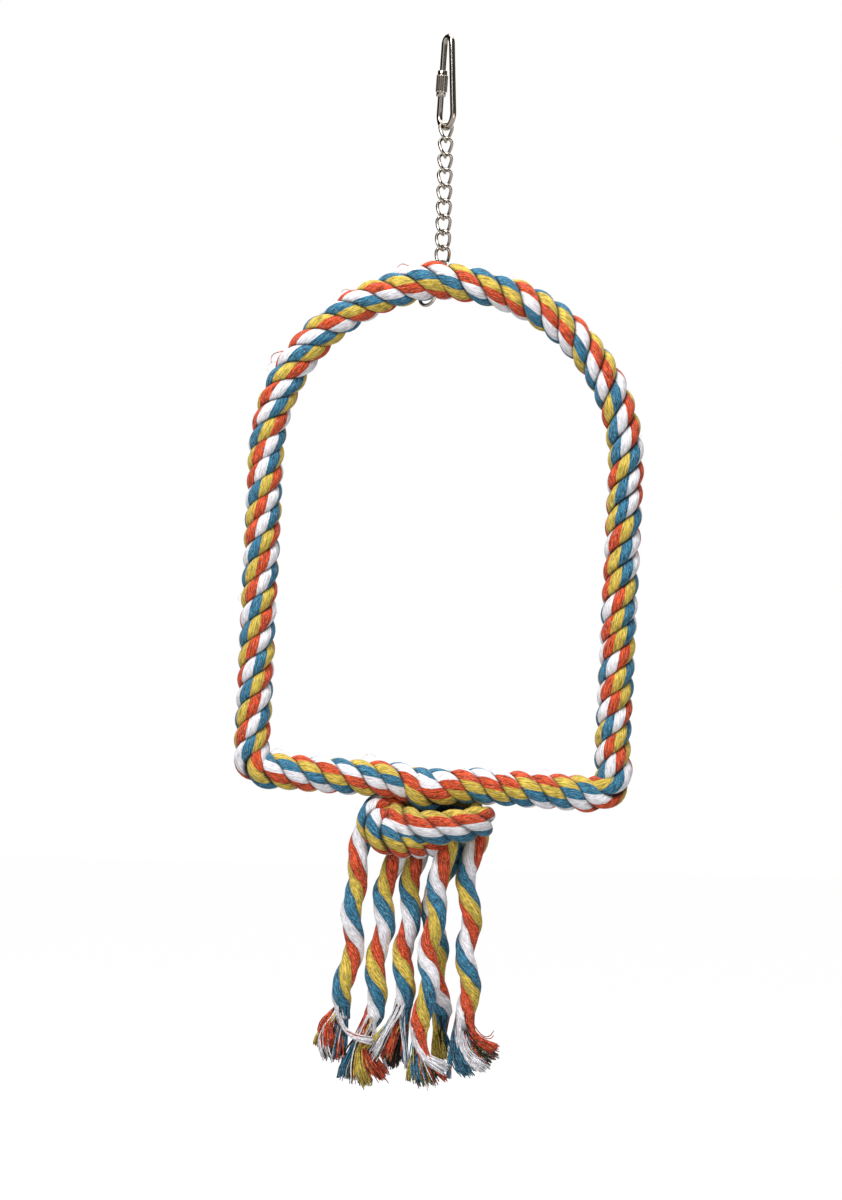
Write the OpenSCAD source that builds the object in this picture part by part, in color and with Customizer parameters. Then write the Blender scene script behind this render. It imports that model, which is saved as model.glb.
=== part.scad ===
// Rope bird swing. A laid rope is bent over a steel wire into an arch with a straight perch.
// It hangs from a wire ring, a short chain of twisted links and a pear-shaped screw link.
// The rope's two ends are tied in a half knot under the perch and unlaid into six frayed strands.
// Sizes are in millimetres. +Z is up, +X is to the right and -Y is the front.
// The origin is where the screw link bears on the bar or hook that carries the swing.

/* [Screw link] */
// Diameter of the bent rod
link_rod_d = 3.5; // [2.5:0.25:4.5]
// Clear length inside the link
link_inner_len = 47; // [40:1:70]
// Inside radius of the narrow top bend
link_top_r = 2.25; // [1.5:0.25:4]
// Inside radius of the wide bottom bend
link_bottom_r = 5.75; // [4.5:0.25:9]
// Turn of the link about the plumb line
link_turn = -60; // [-75:5:-45]
// Gap in the leg, which the nut closes
gate_gap = 5; // [3:0.5:8]
// Length of thread above the gap that the closed nut holds
gate_hold = 3.5; // [2:0.5:5]

/* [Sleeve nut] */
// Length of the nut
nut_len = 14.5; // [12:0.5:18]
// Wall of the fluted barrel over the rod
nut_wall = 1.4; // [1:0.1:2.5]
// Wall of the two plain collars over the rod
nut_collar_wall = 0.9; // [0.5:0.1:0.9]
// Length of each collar
nut_collar_len = 2.6; // [1:0.2:4]
// Number of flutes round the barrel
nut_flutes = 14; // [8:1:20]
// Width of a flute
nut_flute_w = 0.8; // [0.4:0.1:1]
// Room between the nut and the rod
nut_clear = 0.1; // [0.05:0.05:0.3]
// Room left under the open nut, above the bottom bend
nut_foot = 0.8; // [0.3:0.1:3]

/* [Chain] */
// Number of links
chain_links = 9; // [3:1:15]
// Diameter of the chain wire
chain_wire_d = 2; // [1.6:0.1:2.2]
// Clear length inside a link
chain_inner_len = 8.8; // [8.4:0.2:14]
// Clear width inside a link
chain_inner_w = 5.3; // [5:0.1:7]
// Twist of a link from its top to its bottom
chain_twist = 100; // [80:5:110]
// Turn of the first link's top about the plumb line
chain_turn_first = -10; // [-20:5:10]
// Further turn of each next link
chain_turn_step = -3.5; // [-5:0.5:0]
// Play between two links that hang in each other
chain_play = 0.2; // [0.15:0.05:0.4]

/* [Ring] */
// Diameter of the ring's wire
ring_wire_d = 2; // [1.5:0.1:2.4]
// Clear length inside the ring
ring_inner_len = 24.6; // [23:0.2:32]
// Clear width inside the ring
ring_inner_w = 8; // [7.5:0.5:11]
// Turn of the ring about the plumb line
ring_turn = -40; // [-50:5:-30]
// Lean of the ring's top to the right
ring_lean = 25; // [10:1:30]
// Room round the ring's wire in the rope
ring_clear = 0.2; // [0.1:0.05:0.4]

/* [Rope frame] */
// Diameter of the laid rope
rope_d = 20; // [16:0.5:22]
// Radius of the arch, to the middle of the rope
arch_r = 100; // [80:1:140]
// Length of the left side, from the arch's end to the perch line
left_side = 175; // [120:1:240]
// Length of the right side, from the arch's end to the perch line
right_side = 180; // [120:1:240]
// Inside radius of the two bottom corners
corner_in_r = 1.2; // [0.5:0.1:20]
// Diameter of the steel wire inside the rope
core_d = 3; // [2:0.25:4]
// Room between the wire and the rope
core_clear = 0.1; // [0.05:0.05:0.3]
// Place of the ring on the arch, from its top
ring_station = -6.5; // [-12:0.5:0]
// Angle at which the frame hangs, right side down
hang_tilt = 1.2; // [0:0.1:4]

/* [Half knot and strands] */
// Height of the knot's start under the perch
knot_seat = 0.4; // [0.3:0.1:1]
// Diameter of an unlaid strand
strand_d = 10.4; // [8:0.2:10.4]
// Room between a strand's top and the knot
strand_clear = 0.3; // [0.2:0.1:0.6]

/* [Hidden] */
$fn = 64;
metal = [0.62, 0.60, 0.57];
steel = [0.45, 0.46, 0.48];
orange = [0.89, 0.33, 0.17];
yellow = [0.82, 0.70, 0.25];
blue = [0.18, 0.45, 0.58];
white = [0.92, 0.91, 0.94];
eps = 0.01;
// Straight bars run this far into their bends, and are this much thinner, so that they join up
seam_run = 0.1;
seam_step = 0.02;

// Screw link: centreline radii of the two bends, and the straight legs that touch both
link_top_mid = link_top_r + link_rod_d / 2;
link_bottom_mid = link_bottom_r + link_rod_d / 2;
link_top_z = -link_top_r;
link_bottom_z = link_bottom_r - link_inner_len;
link_span = link_top_z - link_bottom_z;
leg_slope = asin((link_bottom_mid - link_top_mid) / link_span);
leg_len = link_span * cos(leg_slope);
nut_spare = 0.5;
nut_travel = gate_gap + gate_hold + nut_spare;
nut_low = nut_foot + nut_travel;
gate_top = nut_low + nut_len - gate_hold;
gate_low = gate_top - gate_gap;
nut_bore_d = link_rod_d + 2 * nut_clear;

// Chain: each link's middle is one pitch under the last
chain_bend_r = (chain_inner_w + chain_wire_d) / 2;
chain_leg = chain_inner_len - chain_inner_w;
chain_mid_len = chain_inner_len + chain_wire_d;
chain_pitch = chain_inner_len - chain_play;
chain_first_z = chain_play - link_inner_len - chain_inner_len / 2;
bend_steps = 10;
wire_sides = 8;
function link_turn_at(i) = chain_turn_first + (i - 1) * chain_turn_step;
function link_mid_z(i) = chain_first_z - (i - 1) * chain_pitch;
chain_end_z = link_mid_z(chain_links) - chain_inner_len / 2;

// Ring: the highest point of its leaning top bend hangs on the last link
ring_bend_r = (ring_inner_w + ring_wire_d) / 2;
ring_leg = ring_inner_len - ring_inner_w;
ring_hang_z = chain_end_z + chain_play;
ring_axis_z = ring_hang_z + ring_wire_d / 2;
ring_axis_turn = atan2(sin(ring_turn) * cos(ring_lean), cos(ring_turn));
ring_face = [-sin(ring_turn) * cos(ring_lean), cos(ring_turn), sin(ring_turn) * sin(ring_lean)];
ring_up = unit([0, 0, 1] - ring_face.z * ring_face);
ring_top = [0, 0, ring_axis_z] - ring_bend_r * ring_up;
ring_mid = ring_top - ring_leg / 2 * [sin(ring_lean), 0, cos(ring_lean)];
// Notch between the strands where the last link turns in the ring
notch_room = 1;
notch_r = chain_inner_w / 2 + chain_wire_d + notch_room;
notch_w = chain_wire_d + 3 * notch_room;

// Rope frame in its own plane, from the middle of the arch
perch_slope = atan((right_side - left_side) / (2 * arch_r));
perch_len = 2 * arch_r / cos(perch_slope);
corner_r = corner_in_r + rope_d / 2;
left_bend = 90 - perch_slope;
right_bend = 90 + perch_slope;
left_cut = corner_r * tan(left_bend / 2);
right_cut = corner_r * tan(right_bend / 2);
left_corner = [corner_r - arch_r, 0, left_cut - left_side];
right_corner = [arch_r - corner_r, 0, right_cut - right_side];
perch_dir = [cos(perch_slope), 0, -sin(perch_slope)];
perch_start = [-arch_r, 0, -left_side] + left_cut * perch_dir;
perch_run = perch_len - left_cut - right_cut;
core_bore_d = core_d + 2 * core_clear;

// Where the arch's middle and the perch's middle lie once the frame hangs
function tilted(p) =
    [p.x * cos(hang_tilt) + p.z * sin(hang_tilt), p.y, p.z * cos(hang_tilt) - p.x * sin(hang_tilt)];
arch_mid = ring_mid - tilted(arch_r * [sin(ring_station), 0, cos(ring_station)]);
perch_mid = arch_mid + tilted([0, 0, -(left_side + right_side) / 2]);
knot_top = perch_mid - [0, 0, rope_d / 2 / cos(hang_tilt + perch_slope) + knot_seat];

// Half knot: points down the middle of each rope end and its radius there, from knot_top
right_end_points = [
    [16, 7, -4.5, 5.5], [23, 7, -7.5, 7], [28, -1, -10.5, 8.5], [20, -10.5, -12, 9.2],
    [4, -12.5, -12.5, 9.6], [-7, -12, -12.5, 8.8], [-14, -7, -12, 6], [-18, 0, -12.5, 4.3],
    [-22, 6.5, -17, 4.6], [-27, 9, -24, 6.5]
];
left_end_points = [
    [1, 8, -2.5, 4.6], [-11, 8, -3, 4.6], [-22, 7.5, -3.8, 4.8], [-31, 1.5, -8, 5.8],
    [-33, -6, -15.5, 8.6], [-27, -8.5, -23.5, 8.2], [-15, -3, -26.5, 7.2], [-4, 3, -26, 7],
    [5, 5, -26.5, 7]
];
knot_steps = 3;
knot_sides = 10;

// Strands: points down the middle and the radius there, from the strand's top, which is a ball
strand_r = strand_d / 2;
strand_sides = 8;
strand_colours = [blue, orange, yellow, orange, yellow, white];
// Directions in which the three strands of each end leave the rope
strand_ways = [
    [-0.93, 0.05, -0.37], [-0.2, 0.15, -0.97], [0.85, 0.05, -0.53],
    [-0.1, -0.7, -0.7], [0.2, 0.6, -0.77], [0.97, 0, -0.25]
];
strand_points = [
    [[-4, -2, -12], [-6, -3, -31], [-4.5, -3, -48], [-7, -3.5, -64], [-10, -4, -78], [-9, -4, -90],
        [-16, -4, -100], [-19, -4, -113]],
    [[1, 0, -10], [3, -1, -25], [3.5, -1, -41], [0, -1, -54], [0, -1, -70], [-2, -1, -83],
        [-6, -1, -96], [-6, -1, -121]],
    [[4, -1, -12], [6, -2, -30], [4.5, -3, -46], [3, -3, -60], [3.5, -3, -76], [1.5, -3, -88],
        [-1, -3, -100], [-0.5, -3, -114]],
    [[-0.5, -1, -10], [-1.5, -1, -26], [-3.5, -1, -42], [-4.5, -1, -56], [-4, -1, -71], [-6.5, -1, -85],
        [-7, -1, -97], [-2, -1, -123]],
    [[0, 1, -10], [0, 1, -25], [0, 1, -41], [1, 1, -54], [0.5, 1, -70], [1.5, 1, -82],
        [0.5, 1, -93], [0.5, 1, -107]],
    [[3.5, -2, -12], [4.5, -3, -31], [3.5, -3, -47], [4.5, -3, -61], [6, -3, -76], [2.5, -3, -89],
        [3, -3, -101], [9, -3, -119]]
];
// Radius at each of those points, as a share of the strand's own
strand_swell = [1, 1, 1, 1, 1, 0.98, 1.18, 0.7];

function unit(v) = v / norm(v);
function place(p) = [p[0], p[1], p[2]];

// Curve through points, with a few steps between each two
function between(a, b, c, d, t) =
    0.5 * (2 * b + (c - a) * t + (2 * a - 5 * b + 4 * c - d) * t ^ 2 + (3 * b - a - 3 * c + d) * t ^ 3);
function curve(p, steps) = concat(
    [for (i = [0 : len(p) - 2], k = [0 : steps - 1])
        between(p[max(i - 1, 0)], p[i], p[i + 1], p[min(i + 2, len(p) - 1)], k / steps)],
    [p[len(p) - 1]]
);

// Ball-shaped end: rings from its tip back to the widest one
function ball_end(p, way, r) = [for (a = [18, 42, 66]) [each place(p) + way * r * cos(a), r * sin(a)]];
function backwards(p) = [for (i = [len(p) - 1 : -1 : 0]) p[i]];

// Directions along a line, and sideways directions carried along it without turning
function ways(p) = [for (i = [0 : len(p) - 1])
    unit(place(p[min(i + 1, len(p) - 1)]) - place(p[max(i - 1, 0)]))];
function carried(way, side, i = 0) = i == len(way) ? [] :
    let (next = unit(side - (side * way[i]) * way[i])) concat([next], carried(way, next, i + 1));
function section(p, side, other, r, sides) =
    [for (j = [0 : sides - 1]) p + r * (cos(360 * j / sides) * side + sin(360 * j / sides) * other)];

// Skin over rings of points: a loop joins its last ring to the first, else each end has a cap
module skin(rings, loop) {
    n = len(rings);
    m = len(rings[0]);
    walls = [for (i = [0 : loop ? n - 1 : n - 2], j = [0 : m - 1])
        let (a = i * m, b = (i + 1) % n * m, k = (j + 1) % m)
        each [[a + j, b + k, a + k], [a + j, b + j, b + k]]];
    caps = loop ? [] : [for (j = [1 : m - 2])
        each [[0, j, j + 1], [(n - 1) * m, (n - 1) * m + j + 1, (n - 1) * m + j]]];
    polyhedron(points = [for (ring = rings) each ring], faces = concat(walls, caps), convexity = 8);
}

// Tube along points that carry their own radius
module tube(points, sides) {
    way = ways(points);
    side = carried(way, [0.1, 1, 0.2]);
    skin([for (i = [0 : len(points) - 1])
        section(place(points[i]), side[i], cross(way[i], side[i]), points[i][3], sides)], false);
}

// Arc of round bar in the XZ plane, anticlockwise from one angle
module bar_arc(middle, r, d, from, sweep) {
    translate(middle) rotate([90, 0, 0]) rotate(from)
        rotate_extrude(angle = sweep) translate([r, 0]) circle(d = d);
}

// Straight round bar up from the origin, let into what it meets at its lower or upper end
module bar(d, h, low = seam_run, high = seam_run) {
    translate([0, 0, -low]) cylinder(d = d - seam_step, h = h + low + high);
}

// Things on the screw link's left leg, from the leg's lower end
module on_gate_leg() {
    rotate(link_turn)
        translate([0, 0, link_bottom_z]) rotate([0, leg_slope, 0])
            translate([-link_bottom_mid, 0, 0]) children();
}

module screw_link() {
    color(metal) {
        rotate(link_turn) {
            bar_arc([0, 0, link_top_z], link_top_mid, link_rod_d, leg_slope, 180 - 2 * leg_slope);
            bar_arc([0, 0, link_bottom_z], link_bottom_mid, link_rod_d, 180 - leg_slope,
                180 + 2 * leg_slope);
            translate([0, 0, link_bottom_z]) rotate([0, -leg_slope, 0])
                translate([link_bottom_mid, 0, 0]) bar(link_rod_d, leg_len);
        }
        on_gate_leg() {
            bar(link_rod_d, gate_low, high = 0);
            translate([0, 0, gate_top]) bar(link_rod_d, leg_len - gate_top, low = 0);
        }
    }
}

module sleeve_nut() {
    barrel_d = nut_bore_d + 2 * nut_wall;
    color(metal) on_gate_leg() translate([0, 0, nut_low]) difference() {
        union() {
            cylinder(d = nut_bore_d + 2 * nut_collar_wall, h = nut_len);
            translate([0, 0, nut_collar_len]) difference() {
                cylinder(d = barrel_d, h = nut_len - 2 * nut_collar_len);
                for (i = [1 : nut_flutes])
                    rotate(360 * i / nut_flutes) translate([barrel_d / 2, 0, -eps])
                        cylinder(d = nut_flute_w, h = nut_len, $fn = 24);
            }
        }
        translate([0, 0, -eps]) cylinder(d = nut_bore_d, h = nut_len + 2 * eps);
    }
}

// Middle line of a flat oval link, anticlockwise from its right leg
link_outline = concat(
    [for (i = [0 : bend_steps]) let (a = 180 * i / bend_steps)
        [chain_bend_r * cos(a), chain_leg / 2 + chain_bend_r * sin(a)]],
    [[-chain_bend_r, 0]],
    [for (i = [0 : bend_steps]) let (a = 180 + 180 * i / bend_steps)
        [chain_bend_r * cos(a), -chain_leg / 2 + chain_bend_r * sin(a)]],
    [[chain_bend_r, 0]]
);

// Link bent from round wire and twisted about its length
module chain_link(i) {
    n = len(link_outline);
    turn = [for (p = link_outline) link_turn_at(i) + chain_twist * (0.5 - p.y / chain_mid_len)];
    line = [for (k = [0 : n - 1])
        [link_outline[k].x * cos(turn[k]), link_outline[k].x * sin(turn[k]), link_outline[k].y]];
    rings = [for (k = [0 : n - 1])
        let (way = unit(line[(k + 1) % n] - line[(k + n - 1) % n]),
            flat = [-sin(turn[k]), cos(turn[k]), 0],
            side = unit(flat - (flat * way) * way))
        section(line[k], side, cross(way, side), chain_wire_d / 2, wire_sides)];
    color(metal) translate([0, 0, link_mid_z(i)]) skin(rings, true);
}

// Oval of round wire, in place: the ring itself, or the room that it needs in the rope
module ring_form(wire_d) {
    translate(ring_mid) rotate([0, ring_lean, 0]) rotate(ring_turn) {
        bar_arc([0, 0, ring_leg / 2], ring_bend_r, wire_d, 0, 180);
        bar_arc([0, 0, -ring_leg / 2], ring_bend_r, wire_d, 180, 180);
        for (x = [-ring_bend_r, ring_bend_r])
            translate([x, 0, -ring_leg / 2]) bar(wire_d, ring_leg);
    }
}

module rope_ring() {
    color(metal) ring_form(ring_wire_d);
}

// Closed run of round bar along the middle of the rope, as it hangs
module rope_run(d) {
    translate(arch_mid) rotate([0, hang_tilt, 0]) {
        bar_arc([0, 0, 0], arch_r, d, 0, 180);
        translate([-arch_r, 0, left_corner.z]) bar(d, left_side - left_cut);
        translate([arch_r, 0, right_corner.z]) bar(d, right_side - right_cut);
        bar_arc(left_corner, corner_r, d, 180, left_bend);
        bar_arc(right_corner, corner_r, d, 270 - perch_slope, right_bend);
        translate(perch_start) rotate([0, 90 + perch_slope, 0]) bar(d, perch_run);
    }
}

module frame_rope() {
    color(orange) difference() {
        rope_run(rope_d);
        rope_run(core_bore_d);
        ring_form(ring_wire_d + 2 * ring_clear);
        translate([0, 0, ring_axis_z]) rotate([0, 90, ring_axis_turn])
            cylinder(r = notch_r, h = notch_w, center = true);
    }
}

module core_wire() {
    color(steel) rope_run(core_d);
}

// Rope end in the knot, with a ball-shaped tip at both ends
function rope_end(points) =
    let (line = curve(points, knot_steps), n = len(line), way = ways(line))
    concat(ball_end(line[0], -way[0], line[0][3]), line,
        backwards(ball_end(line[n - 1], way[n - 1], line[n - 1][3])));
right_end_line = rope_end(right_end_points);
left_end_line = rope_end(left_end_points);

// Least room between the two ends, and between one end and itself, on points
function room(p, q) = norm(place(p) - place(q)) - p[3] - q[3];
function room_apart(a, b) = min([for (p = a, q = b) room(p, q)]);
function room_to_self(a) = min([for (i = [0 : len(a) - 1], j = [0 : len(a) - 1])
    if (j - i > 10) room(a[i], a[j])]);
echo(knot_ends_apart = room_apart(left_end_line, right_end_line));
echo(right_end_to_itself = room_to_self(right_end_line), left_end_to_itself = room_to_self(left_end_line));

module knot_right_end() {
    color(yellow) translate(knot_top) tube(right_end_line, knot_sides);
}

module knot_left_end() {
    color(blue) translate(knot_top) tube(left_end_line, knot_sides);
}

// The first three strands hang from the right end, which crosses to the left, and the rest from the other
function strand_root(i) =
    let (from = i <= 3 ? right_end_points[len(right_end_points) - 1]
        : left_end_points[len(left_end_points) - 1])
    place(from) + (from[3] + strand_r + strand_clear) * unit(strand_ways[i - 1]);

module tail_strand(i) {
    points = strand_points[i - 1];
    line = concat(ball_end([0, 0, 0], [0, 0, 1], strand_r), [[0, 0, 0, strand_r]],
        [for (k = [0 : len(points) - 1]) [each points[k], strand_r * strand_swell[k]]]);
    color(strand_colours[i - 1]) translate(knot_top + strand_root(i)) tube(line, strand_sides);
}

screw_link();
sleeve_nut();
for (i = [1 : chain_links])
    chain_link(i);
rope_ring();
frame_rope();
core_wire();
knot_left_end();
knot_right_end();
for (i = [1 : len(strand_ways)])
    tail_strand(i);
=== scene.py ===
import math
import random
import bpy
import numpy as np
from mathutils import Matrix


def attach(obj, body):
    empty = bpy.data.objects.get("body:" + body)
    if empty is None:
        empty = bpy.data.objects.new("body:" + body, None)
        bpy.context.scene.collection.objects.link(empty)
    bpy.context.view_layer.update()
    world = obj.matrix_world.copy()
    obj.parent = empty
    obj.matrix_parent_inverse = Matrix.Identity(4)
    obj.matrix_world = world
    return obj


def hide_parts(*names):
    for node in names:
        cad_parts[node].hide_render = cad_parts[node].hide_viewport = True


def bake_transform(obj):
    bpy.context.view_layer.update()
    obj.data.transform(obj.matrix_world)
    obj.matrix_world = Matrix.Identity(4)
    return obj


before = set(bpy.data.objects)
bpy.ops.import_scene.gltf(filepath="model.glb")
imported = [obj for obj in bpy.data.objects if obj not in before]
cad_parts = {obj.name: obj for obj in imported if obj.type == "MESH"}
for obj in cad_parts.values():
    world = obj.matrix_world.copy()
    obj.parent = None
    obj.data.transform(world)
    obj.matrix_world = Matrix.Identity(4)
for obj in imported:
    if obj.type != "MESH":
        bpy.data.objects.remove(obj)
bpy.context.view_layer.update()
scene = bpy.context.scene
scene.view_settings.view_transform = "Standard"
mm = 0.001
fullTurn = 2 * math.pi
print("frame loaded:", len(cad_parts), "nodes")

# camera: long lens level with the middle of the picture, leaning a little as in the photograph
cameraSet = {"place": (-6.9, -1852, -311.4), "lens": 100, "sensor": 36, "clipEnd": 50, "roll": 1.54}
cameraData = bpy.data.cameras.new("camera")
cameraData.lens = cameraSet["lens"]
cameraData.sensor_width = cameraSet["sensor"]
cameraData.clip_end = cameraSet["clipEnd"]
camera = bpy.data.objects.new("camera", cameraData)
scene.collection.objects.link(camera)
camera.matrix_world = (Matrix.Translation([x * mm for x in cameraSet["place"]])
    @ Matrix.Rotation(math.radians(90), 4, "X") @ Matrix.Rotation(math.radians(cameraSet["roll"]), 4, "Z"))
scene.camera = camera


def toLinear(hexColour):
    # sRGB hex to the linear values that the shader works in
    parts = [int(hexColour[i:i + 2], 16) / 255 for i in (1, 3, 5)]
    return [p / 12.92 if p <= 0.04045 else ((p + 0.055) / 1.055) ** 2.4 for p in parts] + [1]


def addNode(tree, kind, settings=None, links=None):
    # one node: settings are properties, or sockets when the key is an index or a socket's name
    node = tree.nodes.new(kind)
    for key, value in (settings or {}).items():
        if isinstance(key, int):
            node.inputs[key].default_value = value
        elif hasattr(node, key):
            setattr(node, key, value)
        else:
            node.inputs[key].default_value = value
    for socket, source in (links or {}).items():
        tree.links.new(source, node.inputs[socket])
    return node


def newMaterial(name):
    material = bpy.data.materials.new(name)
    material.use_nodes = True
    material.node_tree.nodes.clear()
    return material, material.node_tree


# dyed cotton, spun in soft yarns and laid in bundles of four colours: matte, a little fuzzy, with
# the yarns showing as fine lines along the bundle, paler fibres as specks and painted shade in the grooves
cotton = {
    "orange": "#D8522B", "yellow": "#DABD4F", "blue": "#397B9B", "white": "#F2F0F5",
    # the dark thread colour is partly a real dark thread and partly painted shade, filling the dark inside
    # of the frayed tufts
    "pale": "#E4DED6", "darkThreadAndShade": "#1F110D", "greenThread": "#6F7F45",
    "around": 30.0,    # mm round a strand
    "yarn": 0.8,       # mm from yarn to yarn, a little coarser than real so that it shows
    "yarnRun": 3.4,    # mm over which one yarn keeps its shade
    "fibre": 0.62,     # mm, drawn coarser than a real fibre so that it shows
    "fibreLong": 2.0,  # a speck's length in its widths
    "edge": 0.03,      # share of the way round by which a colour's edge wanders
    "lines": {"orange": 1.0, "yellow": 0.85, "blue": 1.0, "white": 0.5},  # how strongly the yarns show
    "shadeFrom": (0.37, 0.62), "shade": (0.2, 1.36),  # noise levels, and how dark and bright yarns get
    "speckFrom": (0.58, 0.78), "speck": 0.7,          # noise levels, and how pale the fibres get
    "groove": 0.96,    # how dark the painted shade gets at its deepest
    "bump": 0.8, "bumpMm": 0.4, "fibreBump": 0.35,
}


def cottonMaterial(name, only=None):
    # four colours round a strand, or thread of one colour
    material, tree = newMaterial(name)
    uv = addNode(tree, "ShaderNodeUVMap", {"uv_map": "yarn"})
    parts = addNode(tree, "ShaderNodeSeparateXYZ", links={0: uv.outputs[0]})
    turn, along = parts.outputs[0], parts.outputs[1]
    across = addNode(tree, "ShaderNodeMath", {"operation": "MULTIPLY", 1: cotton["around"]}, {0: turn})
    slow = addNode(tree, "ShaderNodeMath", {"operation": "MULTIPLY", 1: cotton["yarn"] / cotton["yarnRun"]},
        {0: along})
    short = addNode(tree, "ShaderNodeMath", {"operation": "MULTIPLY", 1: 1 / cotton["fibreLong"]},
        {0: along})
    lines = addNode(tree, "ShaderNodeCombineXYZ", links={0: across.outputs[0], 1: slow.outputs[0]})
    grain = addNode(tree, "ShaderNodeCombineXYZ", links={0: across.outputs[0], 1: short.outputs[0]})
    yarnNoise = addNode(tree, "ShaderNodeTexNoise",
        {"Scale": 1 / cotton["yarn"], "Detail": 3.0, "Roughness": 0.7}, {"Vector": lines.outputs[0]})
    fibreNoise = addNode(tree, "ShaderNodeTexNoise",
        {"Scale": 1 / cotton["fibre"], "Detail": 2.0, "Roughness": 0.7}, {"Vector": grain.outputs[0]})
    yarns, fibres = yarnNoise.outputs["Fac"], fibreNoise.outputs["Fac"]
    # painted shade: a darkening stored with each point of the mesh, where shade falls in creases and inside
    # the knot and tufts
    groove = addNode(tree, "ShaderNodeAttribute", {"attribute_name": "groove"})
    paintedShadeLevel = addNode(tree, "ShaderNodeMath", {"operation": "MULTIPLY_ADD", 1: -cotton["groove"], 2: 1.0},
        {0: groove.outputs["Fac"]})
    shade = addNode(tree, "ShaderNodeMapRange",
        {"From Min": cotton["shadeFrom"][0], "From Max": cotton["shadeFrom"][1],
            "To Min": cotton["shade"][0] - 1, "To Max": cotton["shade"][1] - 1}, {"Value": yarns})
    lined = addNode(tree, "ShaderNodeMath", {"operation": "MULTIPLY_ADD", 1: 1.0, 2: 1.0},
        {0: shade.outputs[0]})
    both = addNode(tree, "ShaderNodeMath", {"operation": "MULTIPLY"},
        {0: lined.outputs[0], 1: paintedShadeLevel.outputs[0]})
    shaded = addNode(tree, "ShaderNodeVectorMath", {"operation": "SCALE"}, {"Scale": both.outputs[0]})
    if only:
        shaded.inputs[0].default_value = toLinear(only)[:3]
    else:
        wander = addNode(tree, "ShaderNodeMath", {"operation": "MULTIPLY_ADD", 1: cotton["edge"]},
            {0: fibres, 2: turn})
        once = addNode(tree, "ShaderNodeMath", {"operation": "FRACT"}, {0: wander.outputs[0]})
        bands = addNode(tree, "ShaderNodeValToRGB", links={0: once.outputs[0]})
        bands.color_ramp.interpolation = "CONSTANT"
        for i, key in enumerate(("orange", "yellow", "blue", "white")):
            stop = bands.color_ramp.elements[i] if i < 2 else bands.color_ramp.elements.new(i / 4)
            stop.position = i / 4
            stop.color = toLinear(cotton[key])[:3] + [cotton["lines"][key]]
        tree.links.new(bands.outputs["Color"], shaded.inputs[0])
        tree.links.new(bands.outputs["Alpha"], lined.inputs[1])
    speck = addNode(tree, "ShaderNodeMapRange",
        {"From Min": cotton["speckFrom"][0], "From Max": cotton["speckFrom"][1],
            "To Min": 0.0, "To Max": cotton["speck"]}, {"Value": fibres})
    lit = addNode(tree, "ShaderNodeMath", {"operation": "MULTIPLY"},
        {0: speck.outputs[0], 1: paintedShadeLevel.outputs[0]})
    pale = addNode(tree, "ShaderNodeMix", {"data_type": "RGBA", 7: toLinear(cotton["pale"])},
        {"Factor": lit.outputs[0], 6: shaded.outputs[0]})
    height = addNode(tree, "ShaderNodeMath", {"operation": "MULTIPLY_ADD", 1: cotton["fibreBump"]},
        {0: fibres, 2: yarns})
    bump = addNode(tree, "ShaderNodeBump", {"Strength": cotton["bump"], "Distance": cotton["bumpMm"] * mm},
        {"Height": height.outputs[0]})
    shader = addNode(tree, "ShaderNodeBsdfPrincipled",
        {"Roughness": 0.9, "Specular IOR Level": 0.2, "Sheen Weight": 0.12, "Sheen Roughness": 0.5},
        {"Base Color": pale.outputs[2], "Normal": bump.outputs[0]})
    addNode(tree, "ShaderNodeOutputMaterial", links={0: shader.outputs[0]})
    return material


# nickel plate on drawn steel wire: bright and slightly warm, softened by fine drawing marks;
# the wire inside the rope is bare steel, greyer and duller
nickel = {"colour": "#9E968C", "roughness": 0.12, "markMm": 2.5, "dull": (0.85, 1.2), "tone": (0.95, 1.04)}
bareSteel = {"colour": "#8C8E92", "roughness": 0.4}


def wireMaterial(name, colour, roughness):
    material, tree = newMaterial(name)
    place = addNode(tree, "ShaderNodeTexCoord")
    marks = addNode(tree, "ShaderNodeTexNoise", {"Scale": 1 / (nickel["markMm"] * mm), "Detail": 3.0},
        {"Vector": place.outputs["Object"]})
    dull, tone = [addNode(tree, "ShaderNodeMapRange",
        {"From Min": 0.3, "From Max": 0.7, "To Min": low, "To Max": high}, {"Value": marks.outputs["Fac"]})
        for low, high in ([roughness * share for share in nickel["dull"]], nickel["tone"])]
    toned = addNode(tree, "ShaderNodeVectorMath", {"operation": "SCALE", 0: toLinear(colour)[:3]},
        {"Scale": tone.outputs[0]})
    shader = addNode(tree, "ShaderNodeBsdfPrincipled", {"Metallic": 1.0},
        {"Base Color": toned.outputs[0], "Roughness": dull.outputs[0]})
    addNode(tree, "ShaderNodeOutputMaterial", links={0: shader.outputs[0]})
    return material


cottonLaid = cottonMaterial("dyedCottonYarn")
# dark thread, partly standing in for the shade inside the tufts
cottonDarkAndShade = cottonMaterial("darkCottonThreadAndShade", cotton["darkThreadAndShade"])
cottonGreen = cottonMaterial("greenCottonThread", cotton["greenThread"])
nickelPlate = wireMaterial("nickelPlatedSteel", nickel["colour"], nickel["roughness"])
coreSteel = wireMaterial("drawnSteelWire", bareSteel["colour"], bareSteel["roughness"])
print("materials made")


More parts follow.
